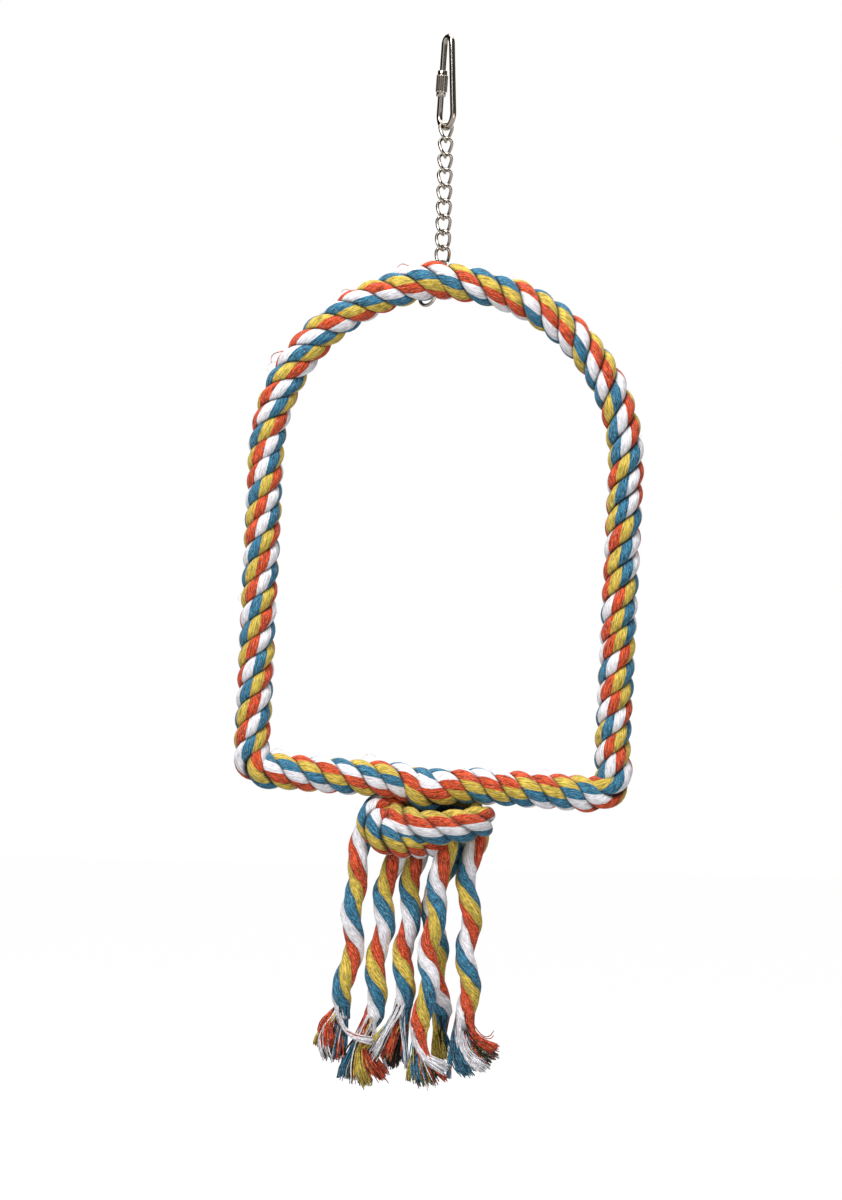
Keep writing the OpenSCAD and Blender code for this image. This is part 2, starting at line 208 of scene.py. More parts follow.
def tubeMesh(name, tubes, materials):
    # one mesh from tubes: each has rings (n, m, 3) in mm, uv (n, m + 1, 2) and a material number
    points, faces, uvs, slots, grooves, start = [], [], [], [], [], 0
    for tube in tubes:
        rings, uv = tube["rings"], tube["uv"]
        n, m = rings.shape[:2]
        points.append(rings.reshape(-1, 3) * mm)
        grooves.append(tube.get("groove", np.zeros((n, m))).ravel())
        i, j = np.meshgrid(np.arange(n if tube.get("loop") else n - 1), np.arange(m), indexing="ij")
        k, after = (j + 1) % m, (i + 1) % n
        quads = np.stack([i * m + j, i * m + k, after * m + k, after * m + j], -1).reshape(-1, 4) + start
        faces += quads.tolist()
        corner = np.stack([uv[i, j], uv[i, j + 1], uv[i + 1, j + 1], uv[i + 1, j]], -2)
        uvs.append(corner.reshape(-1, 2))
        slots += [tube.get("slot", 0)] * len(quads)
        if not tube.get("loop"):
            faces.append([start + x for x in range(m - 1, -1, -1)])
            faces.append([start + (n - 1) * m + x for x in range(m)])
            uvs += [uv[0, m - 1::-1], uv[n - 1, :m]]
            slots += [tube.get("slot", 0)] * 2
        start += n * m
    mesh = bpy.data.meshes.new(name)
    mesh.from_pydata(np.concatenate(points).tolist(), [], faces)
    layer = mesh.uv_layers.new(name="yarn")
    layer.data.foreach_set("uv", np.concatenate(uvs).astype(np.float32).ravel())
    # painted shade for each point, which the cotton material reads to darken its colour
    groove = mesh.attributes.new("groove", "FLOAT", "POINT")
    groove.data.foreach_set("value", np.concatenate(grooves).astype(np.float32))
    for material in materials:
        mesh.materials.append(material)
    mesh.polygons.foreach_set("material_index", slots)
    mesh.polygons.foreach_set("use_smooth", [True] * len(mesh.polygons))
    mesh.update()
    piece = bpy.data.objects.new(name, mesh)
    scene.collection.objects.link(piece)
    return piece


def unit(v):
    return v / np.linalg.norm(v, axis=-1, keepdims=True)


def directions(line):
    # direction along a line at each of its points
    ends = np.concatenate([[2 * line[0] - line[1]], line, [2 * line[-1] - line[-2]]])
    return unit(ends[2:] - ends[:-2])


def runLength(line):
    return np.concatenate([[0], np.cumsum(np.linalg.norm(np.diff(line, axis=0), axis=1))])


def readOff(at, pairs):
    # values between the pairs of place and value
    return np.interp(at, [p[0] for p in pairs], [p[1] for p in pairs])


def smoothCurve(points, steps):
    # the same curve through points that the part's source uses, with more steps
    p = np.array(points, float)
    out = []
    for i in range(len(p) - 1):
        a, b, c, d = p[max(i - 1, 0)], p[i], p[i + 1], p[min(i + 2, len(p) - 1)]
        for t in np.arange(steps) / steps:
            out.append(0.5 * (2 * b + (c - a) * t + (2 * a - 5 * b + 4 * c - d) * t ** 2
                + (3 * b - a - 3 * c + d) * t ** 3))
    return np.array(out + [p[-1]])


def carriedSides(line, first):
    # sideways directions carried along the line without turning
    way = directions(line)
    side, out = np.array(first, float), []
    for w in way:
        side = unit(side - (side @ w) * w)
        out.append(side)
    return np.array(out)


def ringsRound(line, one, two, radius, angles):
    # circles round each point of a line, in the plane of the two directions there
    ring = np.cos(angles)[None, :, None] * one[:, None, :] + np.sin(angles)[None, :, None] * two[:, None, :]
    return line[:, None, :] + ring * radius


# painted shade in the creases between the bundles of a strand: how sharp it is, how it grows with the
# bulges, and its limit
bundleShade = {"sharp": 6, "perLobe": 6, "most": 0.4}


def strandTube(line, sideN, radius, patternShift, colourAt, columns, lobes, order=1, slot=0):
    # one strand as a tube: radius per ring, colour number (four to a turn) per ring and column
    way = directions(line)
    one = unit(sideN - (sideN * way).sum(1, keepdims=True) * way)
    two = np.cross(way, one)
    alpha = np.linspace(0, fullTurn, columns + 1)
    colour = order * (alpha[None, :] * 4 / fullTurn) + colourAt[:, None]
    wave = np.cos(fullTurn * colour[:, :-1])
    rings = ringsRound(line, one, two, (radius[:, None] * (1 - lobes * wave))[:, :, None], alpha[:-1])
    along = runLength(line)
    uv = np.stack([colour / 4, np.repeat(along[:, None] + patternShift, columns + 1, 1)], -1)
    # painted shade in the creases between the bundles, where the strand is thinnest
    deepest = min(lobes * bundleShade["perLobe"], bundleShade["most"])
    groove = (0.5 + 0.5 * wave) ** bundleShade["sharp"] * deepest
    return {"rings": rings, "uv": uv, "slot": slot, "groove": groove}


# rope: three strands laid right-handed, as shares of the rope's radius
lay = {
    "strands": 3, "centre": 0.54, "strand": 0.475, "columns": 28, "lobes": 0.025, "drift": 0.12,
    "uneven": 0.02, "waves": [(0.52, 2), (0.92, 1), (0.28, 4)],  # rate along the lay and shift by strand
    "deep": (0.86, 0.72),  # where painted shade begins and is full, on the way in from the outside
    "softIn": 0.07, "softShadeLoss": 0.6,  # how much merged strands move in, and how much of their painted shade they lose
    "patternShift": 500,  # mm between the strands in the yarn pattern
}


def laidRope(line, sideN, ropeR, turn, fronts, order=1, soft=0.0):
    # turn is the lay angle along the line, fronts gives each strand's colour where it faces -sideB,
    # soft lets the strands merge, as they do where the rope is pulled tight
    way = directions(line)
    sideB = np.cross(way, sideN)
    merged = lay["softIn"] * soft
    tubes = []
    for k in range(lay["strands"]):
        phi = turn + k * fullTurn / lay["strands"]
        outward = np.cos(phi)[:, None] * sideN + np.sin(phi)[:, None] * sideB
        centre = line + ((lay["centre"] - merged) * ropeR)[:, None] * outward
        wave = sum(np.sin(turn * rate + shift * k) for rate, shift in lay["waves"])
        radius = (lay["strand"] + merged) * ropeR * (1 + lay["uneven"] * wave / 2)
        swung = phi - 3 * math.pi - lay["drift"] * np.sin(phi - 1.5 * math.pi)
        colourAt = order * swung * 4 / fullTurn + fronts[k]
        tube = strandTube(centre, sideN, radius, lay["patternShift"] * k, colourAt, lay["columns"],
            lay["lobes"], order)
        out = tube["rings"] - line[:, None, :]
        out -= (out * way[:, None, :]).sum(-1, keepdims=True) * way[:, None, :]
        depth = np.linalg.norm(out, axis=-1) / ropeR[:, None]
        # painted shade in the creases between the strands: darker the nearer a point lies to the rope's
        # middle line
        creaseShade = np.clip((lay["deep"][0] - depth) / (lay["deep"][0] - lay["deep"][1]), 0, 1)
        tube["groove"] = np.maximum(tube["groove"], creaseShade) * (1 - lay["softShadeLoss"] * soft)
        tubes.append(tube)
    return tubes


# tails: route of each strand from inside the knot down, and its colours
tails = {
    "cordD": 10.4,  # thickness without the bulges
    "radius": 5.5, "columns": 32, "lobes": 0.06, "steps": 9, "frontZ": -470, "patternShift": 2000,
    "waves": [(0.025, 6.3, 1), (0.015, 2.9, 2)],  # share thicker, mm along, shift by tail
    "rootSwell": [(0, 1.0), (10, 1.12), (22, 1)], "endShare": 0.5,  # thickness by mm along, and at the end
    "routes": [
        [(-29.7, 11, -435.4), (-35.1, 9.5, -442.2), (-37.7, 8, -450.1), (-38.3, 4.7, -459.0),
            (-37.7, 7.3, -467.9), (-39.4, 7.3, -476.8), (-41.2, 4.7, -485.8), (-40.1, 4.7, -494.6),
            (-38.5, 7.3, -503.5), (-39.9, 7.3, -512.4), (-43.3, 4.7, -521.4), (-45.5, 4.7, -530.4),
            (-44.2, 7.3, -539.2), (-42.9, 7.3, -546.4)],
        [(-10.6, 8.5, -442.7), (-13.8, 9, -449.5), (-18.0, 7.4, -458.5), (-21.4, 10, -467.4),
            (-23.9, 10, -476.4), (-22.8, 7.4, -485.3), (-21.7, 7.4, -494.1), (-24.3, 10, -503.1),
            (-26.8, 10, -512.1), (-26.9, 7.4, -521.0), (-25.2, 7.4, -529.8), (-25.8, 10, -538.7),
            (-28.3, 10, -549.9)],
        [(0.5, 9, -441.3), (-2.7, 8.5, -448.0), (-6.0, 5.2, -458.1), (-8.9, 7.8, -467.1),
            (-8.9, 7.8, -476.0), (-7.5, 5.2, -484.9), (-8.1, 5.2, -493.8), (-11.0, 7.8, -502.8),
            (-12.1, 7.8, -511.7), (-10.7, 5.2, -520.5), (-9.4, 5.2, -529.4), (-10.8, 7.8, -538.3),
            (-12.8, 7.8, -546.2)],
        [(12.6, 1, -438.7), (11.8, -3.5, -447.7), (8.7, -6.8, -457.7), (6.4, -4.2, -466.7),
            (6.1, -4.2, -475.6), (6.9, -6.8, -484.5), (5.2, -6.8, -493.4), (2.4, -4.2, -502.4),
            (2.1, -4.2, -511.3), (4.0, -6.8, -520.1), (3.1, -6.8, -529.1), (0.6, -4.2, -538.0),
            (-1.4, -4.2, -547.0), (-0.9, -6.8, -554.7)],
        [(19.4, 9, -440.8), (17.9, 11, -448.6), (13.7, 11.2, -457.6), (8.4, 13.8, -466.6),
            (4.7, 13.8, -475.6), (3.0, 11.2, -484.6), (4.9, 11.2, -493.4), (7.9, 13.8, -502.2),
            (8.2, 13.8, -511.1), (6.5, 11.2, -520.1), (8.1, 11.2, -528.9), (10.8, 13.8, -537.8),
            (10.6, 13.8, -547.8)],
        [(29.3, 9, -437.2), (28.3, 6, -443.9), (25.7, 0.2, -450.6), (24.0, 2.8, -457.3),
            (22.0, 2.8, -466.3), (23.6, 0.2, -475.1), (25.8, 0.2, -484.0), (26.0, 2.8, -492.9),
            (23.2, 2.8, -501.8), (22.9, 0.2, -510.7), (25.6, 0.2, -519.6), (26.7, 2.8, -528.4),
            (24.5, 2.8, -537.4), (22.6, 0.2, -550.2)],
    ],
    # which way the colours go round, the colour that faces the front at frontZ and colours to each mm down
    "order": [1, 1, 1, -1, -1, -1],
    "front": [1.17, 1.21, 1.49, 3.15, 4.78, 2.18],
    "perMm": [0.0807, 0.0811, 0.0845, 0.0849, 0.0845, 0.0833],
    "slots": ["cotton_blue", "cotton_orange", "cotton_yellow", "cotton_orange", "cotton_yellow",
        "cotton_white"],
}
# frayed ends: colours 0 to 3 go round the strand, mixed yarns take any and dark ones lie inside, partly
# real dark thread and partly painted shade for the dark inside of the tuft
mixed, darkAndShade = 4, 5
fray = {
    "seed": 41, "yarnR": 0.37, "yarnSpan": (0.75, 1.2), "tipShare": 0.7, "sides": 4, "steps": 10,
    # points of about a mm before the end, where each strand narrows and its yarns come apart
    "back": [12, 6, 13, 8, 6, 8],
    "more": 1.9, "moreDarkAndShade": 2.6,  # yarns for each one counted in the bundles
    "cover": 2.5, "coverShare": 3,  # mm behind the dark yarns where fewer coloured ones cover them
    "strayShare": 0.08, "darkAndShadeShare": 0.85,
    "strays": (0, 0, 1, 2, 3, 5, 5, 5, 6),  # what mixed and stray yarns are picked from, 6 is green thread
    "rootShare": 0.98, "insideShare": 0.7,  # how far out in the strand coloured and other yarns begin
    "loose": 0.55, "looseDown": 0.7, "looseMiddle": 0.75, "cutMm": 1.6, "leadMm": (4, 7),
    "bendMm": (0.1, 0.5), "bendWay": (1, 0.6, 0.3), "bends": 5, "bendShift": 6, "patternShift": 40,
    # painted shade on yarns near the middle of a bundle, weaker on white ones, how far out it reaches, the
    # darkest a yarn gets, and a random darkening of each yarn
    "paintedShadeLevel": 1.35, "whiteShade": 0.3, "shadeReach": 0.75, "darkestYarn": 0.97, "randomDarkSpan": 0.25, "hueSpan": 0.15,
    "endRings": 5, "endShade": (0.3, 0.95),  # painted shade on the last rings of the strand, inside its yarns
    # by tail: colour, yarns, middle and tip from the strand's end in mm, spread
    "bundles": [
        [(3, 36, (-5, -6, -9), (15, -7, -10.5), 1.3), (0, 62, (-14, -2, 2.5), (-9.5, -2, -13.5), 3.6),
            (3, 18, (-17, -4, -6), (-9.5, -4, -21), 2.6), (mixed, 40, (-5, 0, -9), (-5.5, 0, -21), 3.6),
            (1, 9, (-15, -1, -2), (-16.5, -1, -14), 1.0), (2, 22, (0, 1, -5), (-1, 1, -15), 2.2),
            (darkAndShade, 30, (-4, 2, -7), (-4, 3, -20), 3.4)],
        [(0, 70, (-7, -3, -12), (6.5, -3, -26), 3.6), (1, 56, (-12, -4, -14), (-2, -4, -30.5), 3.0),
            (2, 32, (-15, 0, -13), (-15.5, 0, -28.5), 2.6), (darkAndShade, 34, (-10, 3, -10), (-10.5, 3, -28), 4),
            (3, 4, (-11, -2, -12), (-8, -3, -29), 2.5), (3, 3, (3, -1, -10), (10.5, -1, -25.5), 0.8),
            (mixed, 18, (-8, 1, -12), (-5, 1, -31), 5)],
        [(3, 40, (-5, -4, -2), (-13, -5, -19), 3.0), (0, 26, (-2, -4, -6), (-8, -5, -19), 2.4),
            (1, 10, (-8, -4, -5), (-18.5, -5, -15), 1.4), (darkAndShade, 70, (-1.5, 3, -11), (-3, 4, -24), 3.6),
            (2, 26, (3, 0, -10), (4, 0, -22.5), 1.6), (3, 7, (4, -2, -9), (5, -2, -26), 0.9),
            (mixed, 12, (0, 1, -10), (-2, 1, -22), 5)],
        [(3, 62, (-2.5, -3, -9), (13, -4, -15.5), 2.8), (2, 50, (-5.5, -1, -10), (0.5, -2, -21), 2.8),
            (0, 16, (5, -4, -14), (14.5, -5, -20.5), 1.1), (mixed, 74, (-1, 1, -11), (4, 1, -22.5), 5.2),
            (1, 18, (-6.5, 0, -11), (-6, 0, -21.5), 1.4), (darkAndShade, 40, (0, 2, -11), (4, 3, -21.5), 4.6)],
        [(1, 66, (-1.5, -1, -9.5), (0, -1, -20), 3.6), (darkAndShade, 26, (0, 2, -8), (0, 3, -19), 3.6),
            (2, 30, (2, 0, -4), (3.8, 0, -12), 1.3), (mixed, 10, (-1, 1, -7), (0, 1, -19), 3.5)],
        [(0, 46, (5, -2, -4.5), (18.5, -2, -8.5), 1.9), (mixed, 46, (4.5, 0, -8), (18, 0, -13.5), 2.4),
            (3, 46, (-4.5, -2, -12.5), (11.5, -3, -19.5), 2.5), (2, 52, (-8, -1, -13), (3, -1, -23), 3.2),
            (2, 14, (-8, 0, -11), (-7, 0, -25), 0.9), (mixed, 26, (1.5, 1, -12), (13, 1, -18), 3.4),
            (darkAndShade, 34, (2, 2, -10), (11, 3, -18), 3.4), (0, 1, (13.5, -3, -9), (17.5, -3, 0), 0.1)],
    ],
}
rng = random.Random(fray["seed"])
for t in range(len(tails["routes"])):
    order = tails["order"][t]
    line = smoothCurve(tails["routes"][t], tails["steps"])
    s = runLength(line)
    way = directions(line)
    side = carriedSides(line, (-1, 0, 0))
    across = np.cross(way, side)
    front = tails["front"][t] + order * tails["perMm"][t] * (tails["frontZ"] - line[:, 2])
    colourAt = front - 3 * order
    radius = np.ones(len(s))
    for thicker, long, shift in tails["waves"]:
        radius += thicker * np.sin(s / long + shift * t)
    narrowing = [(s[-1] - fray["back"][t], 1), (s[-1], tails["endShare"])]
    radius *= tails["radius"] * readOff(s, tails["rootSwell"] + narrowing)
    tube = strandTube(line, side, radius, tails["patternShift"] * t, colourAt, tails["columns"],
        tails["lobes"], order)
    # painted shade on the strand's end, hidden among its yarns
    tube["groove"][-fray["endRings"]:] = np.linspace(*fray["endShade"], fray["endRings"])[:, None]
    strand = tubeMesh(f"tailStrand{t + 1}", [tube], [cottonLaid])

    # yarns of the frayed end leave the strand on its own colours and spread as they fall
    yarns = []
    begin, end = len(line) - fray["back"][t], line[-1]
    bundles = list(fray["bundles"][t])
    inner = [b for b in bundles if b[0] == darkAndShade][0]
    behind = np.array([0, fray["cover"], 0])
    bundles += [(c, inner[1] // fray["coverShare"], inner[2] + behind, inner[3] + behind, inner[4])
        for c in range(4)]
    for colour, count, middle, tip, spread in bundles:
        for i in range(round(count * fray["moreDarkAndShade" if colour == darkAndShade else "more"])):
            share = math.sqrt(rng.random())
            number = colour + rng.random() if colour < mixed else 4 * rng.random()
            r = radius[begin] * fray["rootShare" if colour < mixed else "insideShare"] * share
            a = (number - colourAt[begin]) * order * math.pi / 2
            offset = r * (math.cos(a) * side[begin] + math.sin(a) * across[begin])
            if colour == darkAndShade:
                offset[1] = abs(offset[1])  # dark yarns begin on the strand's back
            base = line[begin] + offset
            loose = np.array([rng.gauss(0, 1), rng.gauss(0, 1), rng.gauss(0, fray["looseDown"])])
            loose *= spread * fray["loose"]
            cut = np.array([0, 0, rng.uniform(-fray["cutMm"], fray["cutMm"])])
            lead = base + way[begin] * rng.uniform(*fray["leadMm"])
            half = end + np.array(middle) + loose * fray["looseMiddle"]
            last = end + np.array(tip) + loose + cut
            wave, bent = rng.random() * fray["bendShift"], rng.uniform(*fray["bendMm"])
            q = np.linspace(0, 1, fray["steps"])[:, None]
            p = 1 - q
            path = p ** 3 * base + 3 * q * p ** 2 * lead + 3 * q * q * p * half + q ** 3 * last
            path += bent * np.sin(fray["bends"] * q + wave) * q * np.array(fray["bendWay"])
            yarnR = np.full(len(path), fray["yarnR"]) * rng.uniform(*fray["yarnSpan"])
            yarnR[-1] *= fray["tipShare"]
            stray = rng.random() < (1 - fray["darkAndShadeShare"] if colour == darkAndShade else fray["strayShare"])
            shown = rng.choice(fray["strays"]) if colour == mixed or stray else colour
            slot = 0 if shown < 4 else shown - 4
            yarn = strandTube(path, carriedSides(path, (0.2, 1, 0.1)), yarnR, fray["patternShift"] * i,
                np.zeros(len(path)), fray["sides"], 0, slot=slot)
            # painted shade on yarns near the middle of their bundle, with a random darkening of each yarn
            # on top
            insideShade = max(0, 1 - np.linalg.norm(loose) / (fray["shadeReach"] * spread))
            insideShade *= fray["whiteShade" if shown == 3 else "paintedShadeLevel"]
            paintedShadeLevel = min(fray["darkestYarn"], insideShade + fray["randomDarkSpan"] * rng.random() ** 2)
            yarn["groove"] = np.full(yarn["rings"].shape[:2], paintedShadeLevel)
            yarn["uv"][:, :, 0] = (shown % 4 + 0.5) / 4 + fray["hueSpan"] * (rng.random() - 0.5)
            yarns.append(yarn)
    tuft = tubeMesh(f"tailFray{t + 1}", yarns, [cottonLaid, cottonDarkAndShade, cottonGreen])
    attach(tuft, f"tail_{t + 1}")
    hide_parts(f"tail_strand_{t + 1}")
    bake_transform(strand)
print("tails hung")

# rope frame: its middle line, from the middle of the perch to the right and round
swing = {
    "archMid": (4.907, -1.081, -235.107), "archR": 100.0, "leftSide": 175.0, "rightSide": 180.0,
    "cornerR": 11.2, "tilt": 1.2, "ropeR": 10.0, "step": 1.0,
    # the knot pulls the perch, which lies below sagBelow, down a little and its strands open there
    "sagX": -1.0, "sagWide": 10.0, "sag": 4.2, "swell": 0.18, "sagBelow": -380,
    # where it is thicker or pushed out: mm along the loop, half width, share thicker, mm outward
    "swells": [(444, 13, 0.06, 1.9), (104, 9, 0.06, 1.6), (760, 8, 0.04, 0.6)],
    # number of the strand that faces the front, by mm along the loop: the lay is looser over the arch
    "strandAt": [(-21.0, -2), (1.2, 0), (101.3, 9), (204.2, 18), (328.2, 28), (458.8, 39), (575.2, 49),
        (628.0, 54), (761.8, 66), (860.8, 75), (883.0, 77)],
    # twist of each of the three strands: colour that faces the front, by strand number along the loop
    "fronts": [
        [(-3, -0.8), (0, 0.1), (9, 2.2), (15, 3.9), (18, 4.65), (27, 6.3), (36, 8.0), (42, 9.7),
            (48, 10.85), (66, 12.8), (69, 14.2), (75, 16.1), (78, 16.9)],
        [(-1, 0.8), (5, 2.0), (8, 3.0), (11, 4.9), (17, 5.6), (26, 7.4), (35, 9.05), (38, 9.95), (41, 10.6),
            (56, 12.7), (65, 14.2), (71, 16.1), (74, 16.8), (80, 18.0)],
        [(-2, -1.5), (1, 0.6), (4, 1.1), (10, 3.8), (13, 4.6), (19, 6.0), (34, 9.5), (40, 11.8), (46, 13.0),
            (58, 14.2), (64, 15.5), (67, 15.9), (73, 18.5), (76, 20.6)],
    ],
}
slope = math.atan((swing["rightSide"] - swing["leftSide"]) / (2 * swing["archR"]))
arch, corner = swing["archR"], swing["cornerR"]
leftCut = corner * math.tan((math.pi / 2 - slope) / 2)
rightCut = corner * math.tan((math.pi / 2 + slope) / 2)
perchWay = np.array([math.cos(slope), -math.sin(slope)])
perchMid = np.array([0, -(swing["leftSide"] + swing["rightSide"]) / 2])


def straight(a, b):
    count = max(2, round(np.linalg.norm(np.array(b) - a) / swing["step"]))
    return [np.array(a) + (np.array(b) - a) * q for q in np.linspace(0, 1, count)]


def bend(middle, r, a, b):
    count = max(6, round(r * abs(b - a) / swing["step"]))
    return [np.array(middle) + r * np.array([math.cos(q), math.sin(q)]) for q in np.linspace(a, b, count)]


rightMid = (arch - corner, rightCut - swing["rightSide"])
leftMid = (corner - arch, leftCut - swing["leftSide"])
rightStart = np.array([arch, -swing["rightSide"]]) - perchWay * rightCut
leftEnd = np.array([-arch, -swing["leftSide"]]) + perchWay * leftCut
flatLine = []
for part in (straight(perchMid, rightStart), bend(rightMid, corner, 1.5 * math.pi - slope, fullTurn),
        straight((arch, rightMid[1]), (arch, 0)), bend((0, 0), arch, 0, math.pi),
        straight((-arch, 0), (-arch, leftMid[1])), bend(leftMid, corner, math.pi, 1.5 * math.pi - slope),
        straight(leftEnd, perchMid)):
    flatLine += part if not flatLine else part[1:]
flatX, flatZ = np.array(flatLine).T
tilt = math.radians(swing["tilt"])
ropeLine = np.array(swing["archMid"]) + np.stack([flatX * math.cos(tilt) + flatZ * math.sin(tilt),
    0 * flatX, flatZ * math.cos(tilt) - flatX * math.sin(tilt)], 1)
ropeRun = runLength(ropeLine)
near = np.exp(-((ropeLine[:, 0] - swing["sagX"]) / swing["sagWide"]) ** 2)
near *= ropeLine[:, 2] < swing["sagBelow"]
ropeLine[:, 2] -= swing["sag"] * near
ropeR = swing["ropeR"] * (1 + swing["swell"] * near)
way = directions(ropeLine)
for at, wide, thicker, outward in swing["swells"]:
    near = np.exp(-((ropeRun - at) / wide) ** 2)
    ropeR *= 1 + thicker * near
    ropeLine += outward * near[:, None] * np.stack([way[:, 2], 0 * near, -way[:, 0]], 1)
# a few points of overlap at the join, cut off again below, so that the strands close without a seam
pad = 6
around = np.concatenate([np.arange(-pad - 1, -1), np.arange(len(ropeLine)), np.arange(1, pad + 1)])
ropeRun = np.concatenate([ropeRun[-pad - 1:-1] - ropeRun[-1], ropeRun, ropeRun[1:pad + 1] + ropeRun[-1]])
ropeLine, ropeR = ropeLine[around], ropeR[around]
ropeWay = directions(ropeLine)
ropeOut = np.stack([ropeWay[:, 2], 0 * ropeWay[:, 0], -ropeWay[:, 0]], 1)
strandNumber = readOff(ropeRun, swing["strandAt"])
ropeTurn = 1.5 * math.pi + strandNumber * fullTurn / lay["strands"]
fronts = [readOff(strandNumber, pairs) for pairs in swing["fronts"]]
strands = laidRope(ropeLine, ropeOut, ropeR, ropeTurn, fronts)
for tube in strands:
    tube.update(rings=tube["rings"][pad:-pad - 1], groove=tube["groove"][pad:-pad - 1],
        uv=tube["uv"][pad:-pad], loop=True)
frameRope = tubeMesh("frameRope", strands, [cottonLaid])
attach(frameRope, "frame")
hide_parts("frame_rope")
print("rope laid:", len(frameRope.data.vertices), "points")

# half knot: points down the middle of each rope end and its radius, repeated from the part's source;
# front is the colour that faces the front by station, side is where the rope's side points at station look
knot = {
    "top": (1.190, -1.081, -422.978), "steps": 14,
    # painted shade on the knot's inside, seen past the crossing: stations it reaches, its limit, fading
    # round the rope
    "insideShadeReach": 1.5, "insideShadeMost": 0.8, "insideShadeFacing": 1.5,
    "whiteMid": 0.875,  # middle of the white bundle, as a share of the way round
    "ends": {
        "knotRightEnd": {
            "node": "knot_right_end", "slot": "cotton_yellow", "order": 1, "turn": 1.0, "pitch": 40.0,
            "front": [(0, 3.65), (5, 3.7), (9, 4.45)],
            "soft": 0.75, "paintedShadeLevel": 0.14, "narrow": 0.4, "look": 4, "side": (0, 0, 1),
            "points": [(-6, 7.5, -4.5, 7), (20, 8, -6, 8), (28.5, -1.5, -9.6, 8.8), (21, -10.5, -12, 9.4),
                (6, -13, -13.7, 9.7), (-6, -12.5, -13.9, 9.7), (-14.5, -8, -11, 9.0), (-20, -1, -9, 7),
                (-24, 6.5, -14, 5.5), (-28, 9, -23, 6)]},
        "knotLeftEnd": {
            "node": "knot_left_end", "slot": "cotton_blue", "order": -1, "turn": 0.0, "pitch": 31.0,
            "front": [(0, 3.8), (2.6, 3.8), (4, 3.35), (5, 2.65), (6, 2.05), (7, 1.0), (8, 0.2), (9, 0)],
            "soft": 0.3, "paintedShadeLevel": 0.1, "narrow": 0.0, "look": 4, "side": (-1, 0, 0),
            "points": [(9, 7, -3.5, 6.5), (-10, 8.5, -2.5, 7), (-22, 7, -3.5, 8), (-30, 0.5, -6.5, 8.8),
                (-30.5, -8, -13.5, 9.4), (-23.5, -12, -20, 9.4), (-12, -9, -22.5, 9), (0, -2, -23, 8.4),
                (10, 4, -23, 7.5)]},
    },
}
for name, end in knot["ends"].items():
    whole = smoothCurve(end["points"], knot["steps"])
    line, radius = whole[:, :3] + knot["top"], whole[:, 3]
    side = carriedSides(line, (0.1, 1, 0.2))
    way = directions(line)
    other = np.cross(way, side)
    at = end["look"] * knot["steps"]
    wanted = np.array(end["side"], float)
    shift = math.atan2(wanted @ other[at], wanted @ side[at])
    side = math.cos(shift) * side + math.sin(shift) * other
    turn = fullTurn * runLength(line) / end["pitch"] + end["turn"]
    station = np.arange(len(line)) / knot["steps"]
    fronts = [readOff(station, end["front"])] * lay["strands"]
    strands = laidRope(line, side, radius, turn, fronts, end["order"], end["soft"])
    for tube in strands:
        # painted shade: some over all of the knot, which lies in the shade under the perch, and more on its
        # inside near the perch, fading round the rope
        facing = knot["insideShadeFacing"] * (line[:, None, 1] - tube["rings"][:, :, 1]) / radius[:, None]
        knotShade = np.clip(knot["insideShadeReach"] - station, 0, knot["insideShadeMost"])[:, None]
        tube["groove"] = np.minimum(tube["groove"] + end["paintedShadeLevel"] + knotShade * np.clip(facing, 0, 1), 1)
        u = tube["uv"][:, :, 0]
        # the white bundle is squeezed narrower
        tube["uv"][:, :, 0] = u + end["narrow"] * np.sin(fullTurn * (u - knot["whiteMid"])) / fullTurn
    piece = tubeMesh(name, strands, [cottonLaid])
    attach(piece, "frame")
    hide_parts(end["node"])
print("knot tied")


def arcPoints(x, z, r, a, b, count):
    return [(x + r * math.cos(q), z + r * math.sin(q)) for q in np.radians(np.linspace(a, b, count))]


def wireOval(r, leg, bendSteps, legShares):
    # flat oval of two round ends and two straight legs
    oval = arcPoints(0, leg / 2, r, 0, 180, bendSteps) + [(-r, q * leg / 2) for q in legShares]
    oval += arcPoints(0, -leg / 2, r, 180, 360, bendSteps) + [(r, -q * leg / 2) for q in legShares]
    return np.array(oval)


def standUp(flat, turn):
    # points (x, z) of a flat outline in an upright plane turned this far, and the way that plane faces
    x, z = np.array(flat).T
    facing = np.stack([-np.sin(turn), np.cos(turn), 0 * turn], -1)
    return np.stack([x * np.cos(turn), x * np.sin(turn), z], -1), facing


def rodTube(line, facing, r, sides, loop):
    # round rod along a line, its rings begun where they face this way
    way = unit(np.roll(line, -1, 0) - np.roll(line, 1, 0)) if loop else directions(line)
    one = unit(facing - (facing * way).sum(1, keepdims=True) * way)
    a = np.linspace(0, fullTurn, sides + 1)
    rings = ringsRound(line, one, np.cross(way, one), r, a[:-1])
    run = runLength(np.concatenate([line, line[:1]]) if loop else line)
    return {"rings": rings, "uv": np.stack(np.meshgrid(run, a, indexing="ij"), -1), "loop": loop}


def metalPiece(name, tube, body, node):
    piece = tubeMesh(name, [tube], [nickelPlate])
    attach(piece, body)
    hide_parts(node)


